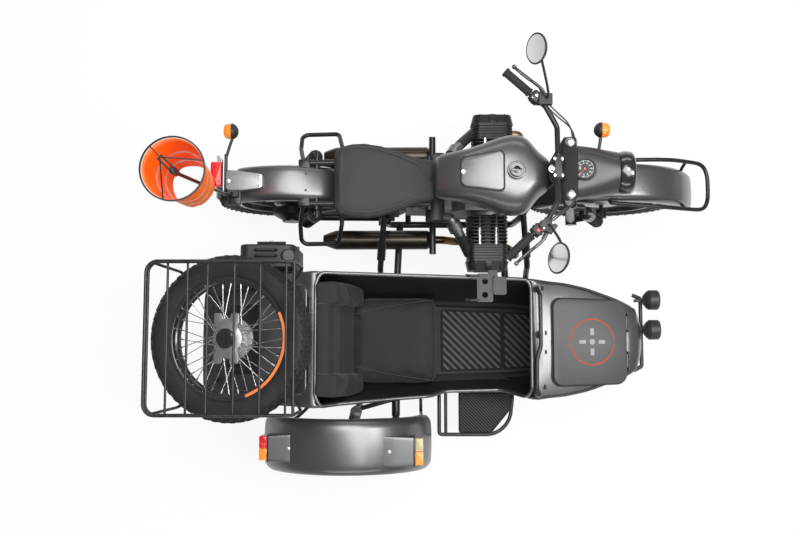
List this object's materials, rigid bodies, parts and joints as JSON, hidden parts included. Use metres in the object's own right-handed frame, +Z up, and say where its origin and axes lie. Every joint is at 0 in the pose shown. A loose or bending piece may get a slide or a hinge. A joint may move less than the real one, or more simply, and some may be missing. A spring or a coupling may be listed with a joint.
{
  "type": "sidecar motorcycle",
  "caption": "Boxer motorcycle with a one-seat sidecar that has a landing pad on its nose, a rack over the spare wheel and a windsock.",
  "frame": {"origin": "on the floor, under the middle of the whole machine", "axes": "+X forward, +Y to the rider's left, +Z up; the sidecar is on the right"},
  "size_m": [2.4604, 1.7346, 1.488],
  "materials": {
    "frame_black": "satin",
    "body_grey": "satin metallic",
    "nacelle_grey": "satin",
    "engine_silver": "cast",
    "exhaust_dark": "satin bronze black",
    "gloss_black": "gloss",
    "bar_black": "satin",
    "seat_leather": "matt",
    "floor_rubber": "ribbed",
    "tyre_rubber": "matt",
    "wheel_black": "gloss",
    "pad_plastic": "matt",
    "can_dark": "gloss",
    "lamp_grey": "satin",
    "sock_orange": "woven"
  },
  "bodies": {
    "chassis": {"controller_holder": "frame_black", "cylinder_left": "engine_silver", "cylinder_right": "engine_silver", "engine_block": "engine_silver", "exhausts": "exhaust_dark", "fender_lamps": "lamp_grey", "floor_mat": "floor_rubber", "fog_lamps": "gloss_black", "fuel_can": "can_dark", "fuel_cap": "gloss_black", "fuel_tank": "body_grey", "grab_rail": "bar_black", "intake": "frame_black", "motorcycle_frame": "frame_black", "rear_fender": "body_grey", "rider_seat": "seat_leather", "seat_backrest": "seat_leather", "seat_cushion": "seat_leather", "side_hoops": "frame_black", "sidecar_fender": "body_grey", "sidecar_frame": "frame_black", "sidecar_swingarm": "frame_black", "sidecar_tub": "body_grey", "step": "frame_black", "swingarm": "frame_black", "tail_lamp": "gloss_black", "toolbox_lid": "body_grey", "windsock_pole": "frame_black"},
    "steering": {"fork": "frame_black", "front_fender": "body_grey", "nacelle": "nacelle_grey", "headlamp": "gloss_black", "handlebar": "bar_black", "mirrors": "gloss_black"},
    "front_wheel": {"front_tyre": "tyre_rubber", "front_wheel": "wheel_black"},
    "rear_wheel": {"rear_tyre": "tyre_rubber", "rear_wheel": "wheel_black"},
    "sidecar_wheel": {"sidecar_tyre": "tyre_rubber", "sidecar_wheel": "wheel_black"},
    "pad_lid": {"pad_lid": "pad_plastic"},
    "trunk_lid": {"trunk_lid": "body_grey", "spare_wheel": "wheel_black", "luggage_rack": "frame_black"},
    "windsock_head": {"windsock_yoke": "frame_black", "windsock": "sock_orange"}
  },
  "joints": [
    {"name": "steering", "type": "hinge", "parent": "chassis", "child": "steering", "pos_m": [0.445, 0.41, 1.02], "axis": [-0.3746, 0, 0.9272], "range_deg": [-35, 35]},
    {"name": "front_wheel_spin", "type": "hinge", "parent": "steering", "child": "front_wheel", "pos_m": [0.775, 0.41, 0.35], "axis": [0, 1, 0], "continuous": true},
    {"name": "rear_wheel_spin", "type": "hinge", "parent": "chassis", "child": "rear_wheel", "pos_m": [-0.705, 0.41, 0.35], "axis": [0, 1, 0], "continuous": true},
    {"name": "sidecar_wheel_spin", "type": "hinge", "parent": "chassis", "child": "sidecar_wheel", "pos_m": [-0.43, -0.745, 0.35], "axis": [0, 1, 0], "continuous": true},
    {"name": "pad_lid_hinge", "type": "hinge", "parent": "chassis", "child": "pad_lid", "pos_m": [0.82263, -0.291, 0.63145], "axis": [0, 1, 0], "range_deg": [0, 95]},
    {"name": "trunk_lid_hinge", "type": "hinge", "parent": "chassis", "child": "trunk_lid", "pos_m": [-0.58045, -0.28, 0.75872], "axis": [0, 1, 0], "range_deg": [0, 55]},
    {"name": "windsock_swivel", "type": "hinge", "parent": "chassis", "child": "windsock_head", "pos_m": [-1.007, 0.315, 1.45], "axis": [0, 0, 1], "continuous": true}
  ]
}
